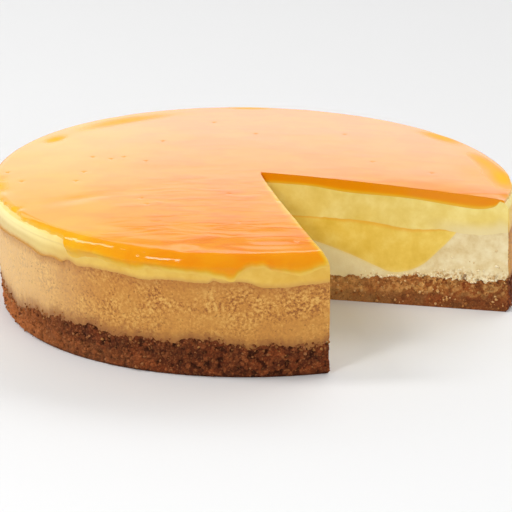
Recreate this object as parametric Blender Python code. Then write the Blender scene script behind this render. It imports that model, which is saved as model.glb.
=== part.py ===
"""A round baked mango cheesecake with a sixth of it cut away.

Five layers lie on each other, and all of them run through to both cut faces: a crumb base, a pale
baked cheesecake, a pool of mango curd sunk into it, a yellow mango cheesecake and a clear mango
glaze that hangs over the rim in places. Each layer is a section that is swept round from one cut
to the other. Metres, +Z up, the foot of the cake on Z = 0 and its middle over the origin. The cake
is seen from the front along +Y, so the missing slice is at the front right.
"""

import math

import bmesh
import bpy
from mathutils import Vector, noise
from mathutils.geometry import delaunay_2d_cdt

MM = 0.001
GAP = 0.3 * MM  # left between two layers, so that no two solids touch
SKIN_GAP = 0.4 * MM  # under the glaze where it goes over the rim, as facets cut that corner

# The cake as a whole
TOP_RADIUS = 120.0 * MM
FOOT_RADIUS = 118.2 * MM
TOP_MIDDLE = Vector((-1.3 * MM, -0.2 * MM))
FOOT_SHIFT = Vector((2.5 * MM, -1.0 * MM))  # the wall leans a little, as it came out of its tin
HEIGHT = 55.7 * MM  # to the level of the glaze at the rim
DOME = 3.7 * MM  # the middle of the top stands this much higher
RIM_FALL = 0.5 * MM  # the glaze thins out towards the rim at the front
RIM_FALL_FROM = 0.6  # share of the way from the middle
TOP_FALL = 0.0167  # the top falls this much for each metre towards +X

# The two knife cuts, which meet in front of the middle
TIP = Vector((3.5 * MM, -9.9 * MM))
FIRST_CUT = math.radians(-13.3)
LAST_CUT = math.radians(285.2)

# The last cut isn't quite flat: it bows into the cake, and leans out at its foot
CUT_LENGTH = 112.0 * MM
CUT_BOW = 3.55 * MM
BOW_RISE = 0.7  # powers of the way from the tip and to the wall: most bow is past half way
BOW_FALL = 0.42
CUT_LEAN = 1.3 * MM
CUT_SPREAD = math.radians(30)  # how far round the cake that shift dies out

# The side away from the last cut is a little flat: its middle, half width and share of the radius
FLAT_AT = math.radians(20)
FLAT_WIDTH = math.radians(18)
FLAT_DEPTH = 0.0095

# Steps round the cake: (from angle, how many), finer where the glaze starts to run over the rim
STEPS = (
    (FIRST_CUT, 40),
    (math.radians(201.0), 7),
    (math.radians(219.8), 8),
    (math.radians(228.3), 23),
)

# Heights of the boundaries along a cut: (share of the way from the tip to the wall, millimetres)
CRUST_TOP = ((0.0, 11.8), (0.3, 12.0), (0.43, 12.3), (0.56, 13.8), (0.67, 14.8), (0.8, 13.5), (1.0, 15.4))
CURD_FLOOR = (
    (0.0, 35.2),
    (0.22, 27.9),
    (0.35, 23.3),
    (0.47, 17.7),
    (0.53, 15.4),
    (0.60, 16.8),
    (0.66, 20.4),
    (0.72, 27.4),
    (0.76, 32.2),
    (0.79, 35.4),
)
CURD_EDGE = CURD_FLOOR[-1][0]
YELLOW_FLOOR = (
    (0.0, 39.8),
    (0.22, 39.6),
    (0.43, 39.0),
    (0.61, 36.6),
    (0.735, 37.3),
    (CURD_EDGE, 36.4),
    (0.9, 36.0),
    (1.0, 38.0),
)
GLAZE_DEPTH = ((0.0, 4.8), (0.2, 4.6), (0.35, 5.9), (0.6, 5.6), (0.8, 6.4), (0.9, 6.4), (1.0, 5.6))

# The rim
SHOULDER = 4.2 * MM  # radius of the yellow layer's upper edge
QUARTER_TURN = SHOULDER * math.pi / 2  # the way round it
RIM_GLAZE = 1.2 * MM  # depth of the glaze over that edge
LIP_WIDTH = 0.03  # share of the way over which the yellow layer rises to its edge
YELLOW_RISE = 5.4 * MM  # the yellow layer ends higher on the wall away from the first cut
RISE_WIDTH = math.radians(18)
YELLOW_DROP = 2.2 * MM  # and a little lower again towards the last cut
DROP_FROM = math.radians(265.5)
DROP_WIDTH = math.radians(4.5)

# How far the glaze reaches below the top at the wall: a little all round, and more at the front
GLAZE_HANG = 2.0 * MM
FLOW = 5.3 * MM
FLOW_FROM = math.radians(221.0)
FLOW_SIDE = math.radians(5.5)
# Tongues and dips of its lower edge: (degrees, half width in degrees, millimetres lower)
TONGUES = (
    (226.3, 2.4, 1.7),
    (232.4, 3.0, -0.8),
    (241.4, 3.4, 1.5),
    (262.9, 1.8, 3.0),
    (268.8, 3.0, -3.0),
    (277.2, 2.4, 1.4),
    (284.0, 2.8, -2.0),
    (27.0, 6.0, 2.4),
    (52.0, 4.0, 1.6),
    (86.0, 5.0, 3.2),
    (123.0, 5.0, 2.8),
    (141.0, 3.4, 2.4),
    (173.0, 4.0, 2.6),
)

# Relief
CRUMB = 1.1 * MM  # depth of the crumb base's relief
CRUMB_SIZE = 6.0 * MM
WALL_RELIEF = 0.45 * MM  # of the baked wall
WALL_WAVE = 11.0 * MM
CRUST_WAVE = 1.1 * MM  # how far the crumb base's upper line wanders
FOOT_CHAMFER = 1.2 * MM  # crumbs are lost along the foot

# Sampling of the sections, as shares of the way from the tip to the wall
CRUST_SHARES = (0.0, 0.4, 0.7, 0.88, 1.0)
CRUST_SHARES_AT_CUT = tuple(i / 18 for i in range(19))
CURD_SHARES = (0.0, 0.22, 0.35, 0.47, 0.53, 0.60, 0.66, 0.72, CURD_EDGE)
YELLOW_SHARES = (0.0, 0.22, 0.43, 0.54, 0.63, 0.735, CURD_EDGE)
OUTER_SHARES = (0.84, 0.9, 0.96)
TOP_SHARES = (0.0, 0.25, 0.5, 0.75, 0.9)
GLAZE_SHARES = (0.0, 0.25, 0.5, 0.75, 0.9, 0.935)
SHOULDER_STEPS = 3
WALL_STEPS = 3
BAKED_STEPS = 5
CRUST_LEVELS = (0.95, 0.75, 0.54, 0.32, 0.12)  # shares of the crumb base's height
CRUMB_ROWS = (0.22, 0.48, 0.74)
CRUMBS_IN_ROW = 23
# The glaze's outside over the rim: (share of the way to its end, thickness as a share of RIM_GLAZE)
SKIN = ((0.0, 1.0), (0.3, 1.0), (0.55, 1.0), (0.8, 1.08), (0.94, 0.9), (1.0, 0.5))


def bell(distance):
    """A smooth bump, 1 at no distance and near nothing at 2."""
    return math.exp(-distance * distance)


def ease(share):
    """0 to 1 with level ends."""
    share = min(1.0, max(0.0, share))
    return share * share * (3 - 2 * share)


def curve_through(points, at):
    """The height at a place on a smooth curve through (place, height) points."""
    places = [p[0] for p in points]
    last = len(points) - 2
    i = next((k for k in range(last) if at < places[k + 1]), last)
    before, after = points[max(i - 1, 0)], points[min(i + 2, len(points) - 1)]
    (x0, y0), (x1, y1) = points[i], points[i + 1]
    span = x1 - x0
    slope0 = (y1 - before[1]) / (x1 - before[0]) * span
    slope1 = (after[1] - y0) / (after[0] - x0) * span
    t = (at - x0) / span
    return (
        y0 * (2 * t**3 - 3 * t**2 + 1)
        + slope0 * (t**3 - 2 * t**2 + t)
        + y1 * (3 * t**2 - 2 * t**3)
        + slope1 * (t**3 - t**2)
    )


def out_of_round(angle):
    """The plan isn't a perfect circle: a factor on the radius, by the angle from the tip."""
    off = TIP - TOP_MIDDLE
    turn = angle + (off.y * math.cos(angle) - off.x * math.sin(angle)) / TOP_RADIUS
    oval = 0.0026 * math.cos(2 * turn) - 0.0010 * math.sin(2 * turn)
    flat = FLAT_DEPTH * bell((turn - FLAT_AT) / FLAT_WIDTH)
    return 1 + oval - flat + 0.0097 * math.cos(3 * turn) - 0.0047 * math.sin(3 * turn)


def wall(angle, height):
    """Distance from the tip to the smooth wall at that angle and height."""
    share = height / HEIGHT
    radius = (FOOT_RADIUS + (TOP_RADIUS - FOOT_RADIUS) * share) * out_of_round(angle)
    off = TIP - TOP_MIDDLE - FOOT_SHIFT * (1 - share)
    along = off.dot(Vector((math.cos(angle), math.sin(angle))))
    return -along + math.sqrt(along * along - off.length_squared + radius * radius)


def cut_shift(angle, distance, height):
    """How far points near the last cut lie to the side of a flat cut."""
    share = min(1.0, distance / CUT_LENGTH)
    most = BOW_RISE / (BOW_RISE + BOW_FALL)
    bow = CUT_BOW * (share / most) ** BOW_RISE * ((1 - share) / (1 - most)) ** BOW_FALL
    lean = CUT_LEAN * share * (1 - height / HEIGHT)
    return (lean - bow) * ease(1 - (LAST_CUT - angle) / CUT_SPREAD)


def place(angle, distance, height, push=0.0):
    """The point at a distance from the tip, pushed sideways round the cake."""
    out = Vector((math.cos(angle), math.sin(angle)))
    side = Vector((-out.y, out.x))
    flat = TIP + out * distance + side * (push + cut_shift(angle, distance, height))
    return Vector((flat.x, flat.y, height))


def bumps(angle, distance, height, size):
    """Even noise from -1 to 1 in lumps of that size."""
    return noise.noise(place(angle, distance, height) / size)


def wall_relief(angle, height):
    return WALL_RELIEF * bumps(angle, TOP_RADIUS, height, WALL_WAVE)


def crumb_relief(angle, distance, height):
    return CRUMB * bumps(angle, distance, height, CRUMB_SIZE)


def top_height(angle, distance):
    """Height of the glaze's low dome."""
    from_middle = TIP + distance * Vector((math.cos(angle), math.sin(angle))) - TOP_MIDDLE
    share = from_middle.length / TOP_RADIUS
    rim_fall = RIM_FALL * ease((share - RIM_FALL_FROM) / (1 - RIM_FALL_FROM))
    rim_fall *= 0.5 - 0.5 * from_middle.y / TOP_RADIUS
    return HEIGHT + DOME * (1 - share * share) - rim_fall - TOP_FALL * from_middle.x


def crust_top(angle, share):
    level = curve_through(CRUST_TOP, share) * MM
    wander = math.sin(2 * angle + 1.0) + 0.6 * math.sin(5 * angle)
    ragged = bumps(angle, share * TOP_RADIUS, 0.0, CRUMB_SIZE)
    return level + CRUST_WAVE * ease(share * 1.4) * (0.5 * wander + 0.8 * ragged)


def curd_floor(angle, share):
    deep = 1 + 0.03 * math.sin(2 * angle + 0.4)
    top = YELLOW_FLOOR[0][1]
    level = top - (top - curve_through(CURD_FLOOR, share)) * (deep if share > 0 else 1)
    at_edge = curve_through(CURD_FLOOR, CURD_EDGE)
    return (level if share < CURD_EDGE else at_edge) * MM


def yellow_floor(angle, share):
    wander = 0.5 * math.sin(9 * angle + 2.0) + 0.5 * math.sin(23 * angle)
    rise = YELLOW_RISE * ease((angle - FIRST_CUT) / RISE_WIDTH)
    rise -= YELLOW_DROP * ease((angle - DROP_FROM) / DROP_WIDTH)
    outside = ease((share - CURD_EDGE) / (1 - CURD_EDGE))
    return curve_through(YELLOW_FLOOR, share) * MM + (rise + wander * MM) * outside


def glaze_floor(angle, share):
    """Top of the yellow layer under the glaze: a shallow dish that rises to a lip."""
    depth = curve_through(GLAZE_DEPTH, share) * MM
    lip = ease((share - (1 - SHOULDER / TOP_RADIUS - LIP_WIDTH)) / LIP_WIDTH)
    depth += (RIM_GLAZE - depth) * lip
    return top_height(angle, share * wall(angle, HEIGHT)) - depth


def glaze_reach(angle):
    """How far below the top the glaze reaches at the wall."""
    degrees = math.degrees(angle)
    tongues = sum(drop * bell((degrees - at) / half) for at, half, drop in TONGUES)
    return GLAZE_HANG + FLOW * ease((angle - FLOW_FROM) / FLOW_SIDE) + tongues * MM


def shoulder_at(angle, run):
    """The yellow layer's outline past the start of its shoulder: (distance, height, outward normal).

    run is the way along the outline: a quarter turn, then straight down the wall.
    """
    top_of_wall = wall(angle, HEIGHT)
    rim_height = top_height(angle, top_of_wall) - RIM_GLAZE
    turn = min(run, QUARTER_TURN) / SHOULDER
    down = max(0.0, run - QUARTER_TURN)
    height = rim_height - SHOULDER * (1 - math.cos(turn)) - down
    distance = top_of_wall - SHOULDER * (1 - math.sin(turn))
    if down > 0:
        distance = wall(angle, height)
    return distance, height, (math.sin(turn), math.cos(turn))


def run_of(drop):
    """The way along the shoulder's outline that goes down by a drop."""
    if drop < SHOULDER:
        return SHOULDER * math.acos(1 - drop / SHOULDER)
    return QUARTER_TURN + drop - SHOULDER


def crust_section(angle, at_cut):
    """The crumb base, with a ragged wall and a small chamfer of lost crumbs at its foot.

    Every section is a closed outline of (key, distance from the tip, height). The keys rise along
    it, and tell which points of two neighbouring sections belong together.
    """
    shares = CRUST_SHARES_AT_CUT if at_cut else CRUST_SHARES
    edge = crust_top(angle, 1.0)
    edge_distance = wall(angle, edge)
    rows = [(share, share * edge_distance, crust_top(angle, share)) for share in shares]
    for level in CRUST_LEVELS:
        height = edge * level
        distance = wall(angle, height) + crumb_relief(angle, TOP_RADIUS, height)
        rows.append((2 - level, distance, height))
    rows.append((2.0, wall(angle, 0.0) - FOOT_CHAMFER, 0.0))
    rows.append((3.0, 0.0, 0.0))
    return rows


def baked_section(angle, at_cut):
    """The pale baked layer: a bowl for the curd above, and the crumb base's top below."""
    reach = wall(angle, HEIGHT)
    rows = [(share, share * reach, curd_floor(angle, share) - GAP) for share in CURD_SHARES]
    edge = CURD_EDGE * reach
    rows.append((CURD_EDGE + 0.01, edge + GAP, curd_floor(angle, CURD_EDGE) - GAP))
    rows.append((CURD_EDGE + 0.02, edge + 2 * GAP, yellow_floor(angle, CURD_EDGE) - GAP))
    for share in OUTER_SHARES:
        rows.append((share, share * reach, yellow_floor(angle, share) - GAP))
    upper = yellow_floor(angle, 1.0) - GAP
    lower = crust_top(angle, 1.0) + GAP
    for step in range(BAKED_STEPS):
        height = upper + (lower - upper) * step / BAKED_STEPS
        distance = wall(angle, height) + wall_relief(angle, height)
        rows.append((1 + step / BAKED_STEPS, distance, height))
    shares = CRUST_SHARES_AT_CUT if at_cut else CRUST_SHARES
    edge_distance = wall(angle, crust_top(angle, 1.0))
    for share in reversed(shares):
        rows.append((3 - share, share * edge_distance, crust_top(angle, share) + GAP))
    return rows


def curd_section(angle, _at_cut):
    """The pool of mango curd, flat above and keeled below."""
    reach = wall(angle, HEIGHT)
    rows = [(share, share * reach, yellow_floor(angle, share) - GAP) for share in YELLOW_SHARES]
    for share in reversed(CURD_SHARES):
        rows.append((2 - share, share * reach, curd_floor(angle, share)))
    return rows


def yellow_section(angle, _at_cut):
    """The yellow layer, with a rounded shoulder and its dished top."""
    reach = wall(angle, HEIGHT)
    rows = [(share, share * reach, glaze_floor(angle, share)) for share in GLAZE_SHARES]
    for step in range(SHOULDER_STEPS + 1):
        distance, height, _ = shoulder_at(angle, QUARTER_TURN * step / SHOULDER_STEPS)
        rows.append((0.96 + 0.01 * step, distance, height))
    lowest = yellow_floor(angle, 1.0)
    highest = rows[-1][2]
    for step in range(1, WALL_STEPS + 1):
        share = step / WALL_STEPS
        height = highest + (lowest - highest) * share
        distance = wall(angle, height) + wall_relief(angle, height) * share
        rows.append((1 + share, distance, height))
    for share in reversed(YELLOW_SHARES + OUTER_SHARES):
        rows.append((3 - share, share * reach, yellow_floor(angle, share)))
    return rows


def glaze_section(angle, _at_cut):
    """The glaze: a low dome on top, and a skin with a rounded end over the shoulder."""
    reach = wall(angle, HEIGHT)
    rows = [(share, share * reach, top_height(angle, share * reach)) for share in TOP_SHARES]
    end = run_of(glaze_reach(angle) - RIM_GLAZE * SKIN[-1][1])
    for share, skin in SKIN:
        distance, height, (out, up) = shoulder_at(angle, end * share)
        depth = RIM_GLAZE * skin
        rows.append((1 + share, distance + out * depth, height + up * depth))
    under = [QUARTER_TURN * step / SHOULDER_STEPS for step in range(SHOULDER_STEPS + 1)]
    for run in [end] + [run for run in reversed(under) if run < 0.95 * end]:
        distance, height, (out, up) = shoulder_at(angle, run)
        rows.append((3 - run / HEIGHT, distance + out * SKIN_GAP, height + up * SKIN_GAP))
    for share in reversed(GLAZE_SHARES):
        rows.append((4 - share, share * reach, glaze_floor(angle, share) + GAP))
    return rows


def zip_rows(bm, first, second):
    """Joins two neighbouring rows of (key, vertex) with triangles.

    The steps of both rows are taken in the order of their middles, so that two layers that lie on
    each other are cut into triangles alike. Where two steps are level, the shorter diagonal wins.
    """
    i = j = 0
    while i < len(first) - 1 or j < len(second) - 1:
        if i == len(first) - 1:
            step_first = False
        elif j == len(second) - 1:
            step_first = True
        else:
            ahead = second[j][0] + second[j + 1][0] - first[i][0] - first[i + 1][0]
            if abs(ahead) < 1e-9:
                one = (first[i + 1][1].co - second[j][1].co).length
                other = (first[i][1].co - second[j + 1][1].co).length
                ahead = other - one
            step_first = ahead > 0
        third = first[i + 1][1] if step_first else second[j + 1][1]
        corners = (first[i][1], third, second[j][1])
        if len(set(corners)) == 3:
            bm.faces.new(corners)
        if step_first:
            i += 1
        else:
            j += 1


def cut_relief(angle, distance, height):
    """Crumbs stand out of the cut and lie back in it, though not at the foot or the tip."""
    room = ease(height / (2 * MM)) * ease(distance / (6 * MM))
    return crumb_relief(angle, distance, height) * room


def crumb_points(angle):
    """Points inside the crumb base's cut face for its relief, in staggered rows."""
    edge_distance = wall(angle, 0.0)
    points = []
    for row, level in enumerate(CRUMB_ROWS):
        for column in range(CRUMBS_IN_ROW):
            share = (column + 1 + 0.5 * (row % 2)) / (CRUMBS_IN_ROW + 1.5)
            points.append((share * edge_distance, level * crust_top(angle, share)))
    return points


def close_cut(bm, row, section, angle, inner):
    """Fills the cut face inside a row, with inner points where the cut is rough."""
    flat = [Vector((distance, height)) for _, distance, height in section]
    around = [(i, (i + 1) % len(flat)) for i in range(len(flat))]
    points = flat + [Vector(point) for point in inner]
    _, _, faces, origin, _, _ = delaunay_2d_cdt(points, around, [], 1, 1e-7)
    vertices = [vertex for _, vertex in row]
    for distance, height in inner:
        push = cut_relief(angle, distance, height)
        vertices.append(bm.verts.new(place(angle, distance, height, push)))
    for face in faces:
        bm.faces.new([vertices[origin[i][0]] for i in face])


def step_angles():
    """All angles from the first cut to the last. Every layer has the same, so they lie close."""
    starts = [start for start, _ in STEPS] + [LAST_CUT]
    angles = []
    for (start, count), end in zip(STEPS, starts[1:]):
        angles += [start + (end - start) * i / count for i in range(count)]
    return angles + [LAST_CUT]


def sweep(name, section, crumbly=False):
    """One layer as a closed solid: its section swept from the first cut to the last."""
    bm = bmesh.new()
    axis = {}
    rows = []
    for angle in step_angles():
        at_cut = angle in (FIRST_CUT, LAST_CUT)
        row = []
        for key, distance, height in section(angle, at_cut):
            if distance == 0.0:
                if height not in axis:
                    axis[height] = bm.verts.new(place(angle, 0.0, height))
                row.append((key, axis[height]))
                continue
            push = cut_relief(angle, distance, height) if crumbly and at_cut else 0.0
            row.append((key, bm.verts.new(place(angle, distance, height, push))))
        rows.append(row)
    for first, second in zip(rows, rows[1:]):
        zip_rows(bm, first, second)
    for row, angle in ((rows[0], FIRST_CUT), (rows[-1], LAST_CUT)):
        close_cut(bm, row, section(angle, True), angle, crumb_points(angle) if crumbly else [])
    bmesh.ops.recalc_face_normals(bm, faces=bm.faces)
    mesh = bpy.data.meshes.new(name)
    bm.to_mesh(mesh)
    bm.free()
    layer = bpy.data.objects.new(name, mesh)
    bpy.context.scene.collection.objects.link(layer)
    mesh.shade_smooth()
    mesh.set_sharp_from_angle(angle=math.radians(35))
    return layer


def paint(layer, colour, roughness):
    """A plain material of the layer's own colour."""
    material = bpy.data.materials.new(layer.name)
    material.use_nodes = True
    shader = material.node_tree.nodes["Principled BSDF"]
    shader.inputs["Base Color"].default_value = (*colour, 1.0)
    shader.inputs["Roughness"].default_value = roughness
    shader.inputs["Metallic"].default_value = 0.0
    layer.data.materials.append(material)


def main():
    for left in list(bpy.data.objects):
        bpy.data.objects.remove(left)
    paint(sweep("crumb_base", crust_section, crumbly=True), (0.22, 0.085, 0.035), 0.9)
    paint(sweep("baked_cheesecake", baked_section), (0.66, 0.47, 0.22), 0.7)
    paint(sweep("mango_curd", curd_section), (0.72, 0.46, 0.05), 0.4)
    paint(sweep("mango_cheesecake", yellow_section), (0.82, 0.66, 0.22), 0.55)
    paint(sweep("mango_glaze", glaze_section), (0.91, 0.33, 0.01), 0.08)


main()
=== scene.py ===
"""The looks of a mango cheesecake with a slice cut out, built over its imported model.

Each of the five layers is made again as one closed, fine mesh that fills the same space: crumbs,
pits and the browned skin are real relief, and the glaze runs over the rim in its own uneven edge.
Loose crumbs sit on the crust. Metres, +Z up, the camera looks along +Y and a little down.
"""

import math

import bmesh
import bpy
import numpy as np
from mathutils import Euler, Matrix, Vector, noise
from mathutils.geometry import delaunay_2d_cdt


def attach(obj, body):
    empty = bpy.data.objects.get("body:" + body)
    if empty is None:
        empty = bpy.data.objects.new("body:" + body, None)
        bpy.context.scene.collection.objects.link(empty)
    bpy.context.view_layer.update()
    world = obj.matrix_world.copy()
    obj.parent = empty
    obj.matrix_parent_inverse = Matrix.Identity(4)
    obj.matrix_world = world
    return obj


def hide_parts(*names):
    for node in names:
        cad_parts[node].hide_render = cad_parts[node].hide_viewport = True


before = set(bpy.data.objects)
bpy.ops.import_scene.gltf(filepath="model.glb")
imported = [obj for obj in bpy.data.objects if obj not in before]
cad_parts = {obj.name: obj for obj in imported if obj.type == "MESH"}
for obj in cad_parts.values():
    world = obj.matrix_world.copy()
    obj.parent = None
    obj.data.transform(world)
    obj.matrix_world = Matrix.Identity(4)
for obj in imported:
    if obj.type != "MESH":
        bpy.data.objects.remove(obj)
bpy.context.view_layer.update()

MM = 0.001
BODY = "root"

# The cake as a whole
TOP_RADIUS = 120.0 * MM
FOOT_RADIUS = 118.2 * MM
TOP_MIDDLE = (-1.3 * MM, -0.2 * MM)
FOOT_SHIFT = (2.5 * MM, -1.0 * MM)  # the wall leans a little, as it came out of its tin
HEIGHT = 55.7 * MM  # to the level of the glaze at the rim
DOME = 3.7 * MM  # the middle of the top stands this much higher
RIM_FALL = 0.5 * MM  # the glaze thins out towards the rim at the front
RIM_FALL_FROM = 0.6  # share of the way from the middle
ROLL = 0.56 * MM  # and rolls over at the front from here on, but not on the left
ROLL_FROM = 0.88
ROLL_LEFT = (-88.0 * MM, -30.0 * MM)
TOP_FALL = 0.0167  # the top falls this much for each metre towards +X

# The two cuts meet at the tip, which is the middle of all angles here. The last one isn't quite
# flat: it bows into the cake, and stands out again at the wall, below the rim
TIP = (3.5 * MM, -9.9 * MM)
FIRST_CUT = math.radians(-13.3)
LAST_CUT = math.radians(284.2)
CUT_LENGTH = 108.0 * MM
CUT_BOW = 2.45 * MM
BOW_RISE = 0.5  # powers of the way from the tip and to the wall
BOW_FALL = 0.61
CUT_LEAN = 2.2 * MM
CUT_FLARE = 9.0 * MM  # the way below the rim over which it comes to stand out
CUT_SPREAD = math.radians(30)  # how far round the cake that shift dies out

# The side away from the last cut is a little flat: its middle, half width and share of the radius
FLAT_AT = math.radians(20)
FLAT_WIDTH = math.radians(18)
FLAT_DEPTH = 0.0095
# What else keeps the plan from being a circle: (waves round the cake, cosine, sine share)
OUT_OF_ROUND = ((2, 0.0026, -0.0010), (3, 0.0097, -0.0047))

# Boundaries along a cut: (share of the way from the tip to the wall, height in millimetres)
CRUST_TOP = (
    (0, 11.8), (0.3, 12), (0.43, 12.3), (0.56, 13.8), (0.67, 14.8), (0.8, 13.5), (0.93, 14), (1, 16.2),
)
CURD_FLOOR = (
    (0, 35.2), (0.22, 27.9), (0.35, 23.3), (0.47, 17.7), (0.53, 15.4), (0.60, 16.8), (0.66, 20.4),
    (0.72, 27.4), (0.76, 32.2), (0.79, 36.4),
)
CURD_EDGE = CURD_FLOOR[-1][0]
YELLOW_FLOOR = (
    (0, 39.8), (0.22, 39.6), (0.43, 39), (0.61, 36.6), (0.735, 37.3), (CURD_EDGE, 36.4), (0.9, 36),
    (1, 38),
)
CRUST_OUTSIDE = 0.7  # from this share on, the crumb base's line goes over into its line on the wall
KEEL_SWAY = 0.03  # the curd's keel gets deeper and shallower round the cake by this share
KEEL_PHASE = 0.4
CURD_LIP = 1.0  # and its underside rises this much over its edge at most, in millimetres
# The glaze's thickness along a cut, in the same measures
GLAZE_DEPTH = (
    (0, 4.8), (0.2, 4.6), (0.35, 5.9), (0.6, 5.6), (0.8, 6.5), (0.885, 6.3), (0.935, 4.6), (0.96, 2.6),
    (1, 1.2),
)

# The same boundaries where they meet the wall: (degrees round the cake, height in millimetres)
CRUST_AT_WALL = (
    (-13.3, 16.2), (-6, 16.6), (6, 14.6), (20, 15.8), (38, 14.3), (60, 15.6), (85, 14.4), (112, 16.1),
    (140, 14.9), (165, 16), (186, 13.4), (197.4, 13.4), (203.5, 11), (211.1, 15), (215, 14.4),
    (220.2, 16.3), (224.8, 15.3), (229.2, 17.2), (235.6, 14.7), (243.6, 15.4), (250.6, 15.2),
    (253.6, 17.3), (257.5, 16.8), (264.4, 14.9), (267, 13.6), (270.4, 15.2), (278.2, 13.4),
    (284.6, 14.5),
)
YELLOW_AT_WALL = (
    (-13.3, 38), (-7, 40.6), (4, 43.4), (30, 43), (55, 44.1), (80, 43.2), (104, 44.3), (130, 42.9),
    (155, 44), (180, 43.3), (198.4, 44), (205, 45), (212.6, 44.4), (215.8, 42.9), (219.9, 44.1),
    (222.4, 43.3), (224.4, 44.8), (226.8, 43.2), (232, 44), (239.7, 43.3), (243.2, 42.5), (251.1, 43.3),
    (257.8, 42.7), (259.3, 44), (260.8, 43.1), (265.4, 43.4), (269.6, 41), (275.6, 40.7), (280, 41.3),
    (284.6, 41.2),
)
# How far the glaze's lower edge hangs below the top: (degrees, millimetres)
GLAZE_EDGE = (
    (-13.3, 0.9), (-4, 1.3), (10, 2), (20, 3.2), (27, 4.4), (34, 2.8), (44, 2.1), (52, 3.6), (60, 2.1),
    (74, 2.2), (82, 4.4), (87, 5.2), (93, 3.4), (104, 2), (116, 3.1), (122, 4.8), (128, 3.2),
    (134, 2.5), (141, 4.4), (147, 2.4), (160, 2), (172, 4.6), (178, 2.6), (190, 1.7), (198, 1.3),
    (204, 1.2), (209, 1.6), (214, 1.8), (221.2, 1.9), (223.4, 3.2), (224.3, 8), (226, 9.1), (229, 7.4),
    (233, 6.5), (238.2, 8.2), (242, 8.8), (245.1, 7.1), (251.1, 7.7), (257.8, 8.2), (261.1, 9.6),
    (263.4, 10.5), (264.6, 7.8), (266.3, 5.1), (269.7, 4.5), (272.2, 5.9), (274.8, 7.3), (277.3, 8.4),
    (279.5, 7.4), (282.5, 5.6), (284.6, 5.4),
)

# The rim
SHOULDER = 4.2 * MM  # radius of the yellow layer's upper edge
QUARTER_TURN = SHOULDER * math.pi / 2
RIM_GLAZE = 1.2 * MM  # how far the glaze stands out of that edge
LIP_WIDTH = 0.015  # share of the way over which the yellow layer rises to its edge
RIM_START = 0.8  # a section's own measure: the level top ends here and the rim starts
EDGE_ROUND = 0.4  # the glaze's skin ends this share of its thickness above its lower edge
LEAST_HANG = 0.6 * MM
BEAD = 0.62  # share of the rim's way where the glaze starts to thin out to its edge
EDGE_GLAZE = 0.02  # the share of its thickness that is left there
DRIP_SWELL = (0.25, 0.8, 0.2)  # how much thicker a drip is, where on the rim's way, over what share
DRIP_RUN = (4.0 * MM, 8.0 * MM)  # runs of this length start to be drips, and are full ones
SUNK_GLAZE = 0.9 * MM  # how far it has pressed into the yellow layer where it is thick
SUNK_RUN = (3.0 * MM, 8.0 * MM)  # in runs of that length, and not at all in shorter ones
SUNK_END = (1.02, 0.67)  # shares of the run between which that dies out towards its end

# Shallow dents in the glaze's top: (degrees, distance from the tip in mm, half length round the
# cake, half width outwards, depth)
DENTS = (
    (203.6, 118.3, 2.2, 2.6, 0.5), (204.4, 89.5, 4, 12, 0.3), (147.5, 117, 7, 3, 0.42),
    (182.6, 118.3, 6, 2.5, 0.35), (190.2, 117.8, 5, 2.5, 0.35), (123, 116, 22, 4.5, 0.34),
    (43, 119.7, 8, 3, 0.3), (1.2, 110.5, 5, 3, 0.35), (348.6, 112.5, 4, 3, 0.4), (239, 98, 16, 5, 0.10),
    (252.5, 107.5, 4.5, 2.6, 0.3), (272, 97.5, 17, 3.2, 0.25), (257.3, 63.4, 13, 3.5, 0.07),
    (268.6, 82, 16, 3, 0.12), (-21, 86, 13, 34, 1),
)
# Places near the rim where the glaze has dried, in the same measures, with how dry it is
DRY = (
    (147.5, 117, 6, 3, 1), (124.5, 118, 27, 6, 0.6), (92.4, 125.5, 10, 3, 0.8), (40, 114, 13, 5, 0.8),
    (3.5, 111.5, 15, 5, 1), (18, 109.5, 13, 4, 0.7), (8, 98, 16, 10, 0.25), (186, 119, 8, 3.5, 0.6),
    (202.8, 118.8, 3.5, 2.5, 1),
)
# Places where the glaze is thin, in the same measures
THIN = ((228.0, 117.0, 12.0, 12.0, 0.5),)
STREAK = (26.0 * MM, 7.0 * MM)  # the spatula's fine streaks in the glaze, along X and across
STREAK_DEPTH = 0.2 * MM
STREAK_END = (-110.0 * MM, -98.0 * MM)  # they die out at the front between these places on Y
JELLY_IOR = 1.28

# How deep the glaze's colour is, from 0 to 1: it thins out towards its edges
THIN_EDGE = 5.5 * MM  # the way to its lower edge
RIM_TURN = 2.5 * MM  # the way over the rim on which its lower edge comes to count
THIN_RUN_DEPTH = 0.75  # in the thinnest runs
DEEP_RUN = (3.0 * MM, 7.0 * MM)  # and from there to full depth in runs of these lengths
THIN_AT_CUT = 0.9  # what its surface loses at the last cut
CUT_THINS = 3.0 * MM  # over this way round the cake
CUT_THINS_FROM = 30.0 * MM  # and over this way from the tip
UNDERSIDE_DEPTH = 0.2  # on a cut, at its underside
UNDERSIDE = 0.45  # the share of its height over which it gets deep there

# Ragged lines and waves, each of (height, size of the lumps) pairs in millimetres
CRUST_LINE = ((0.8, 5.0), (1.3, 2.3), (0.7, 1.2))
CURD_LINE = ((0.5, 14.0),)
YELLOW_LINE = ((0.35, 8.0), (0.25, 2.5))
GLAZE_LINE = ((0.5, 4.0), (0.2, 1.6))
TOP_WAVES = ((0.10, 26.0), (0.022, 8.0))
CRUMB_WAVES = ((0.8, 6.0), (0.25, 1.0))
WALL_WAVES = ((0.45, 11.0),)
CUT_WAVES = ((0.22, 13.0),)
SOFT_WALL_WAVES = ((0.135, 11.0), (0.05, 3.0))
SOFT_CUT_WAVES = ((0.22, 13.0), (0.04, 1.8))
# The same with the heights as shares: of the glaze's thickness, and of a grain's height
GLAZE_SWELL = ((0.16, 9.0), (0.10, 3.6))
BAKED_GRAIN = ((1.0, 1.5), (0.6, 0.8))

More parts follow.
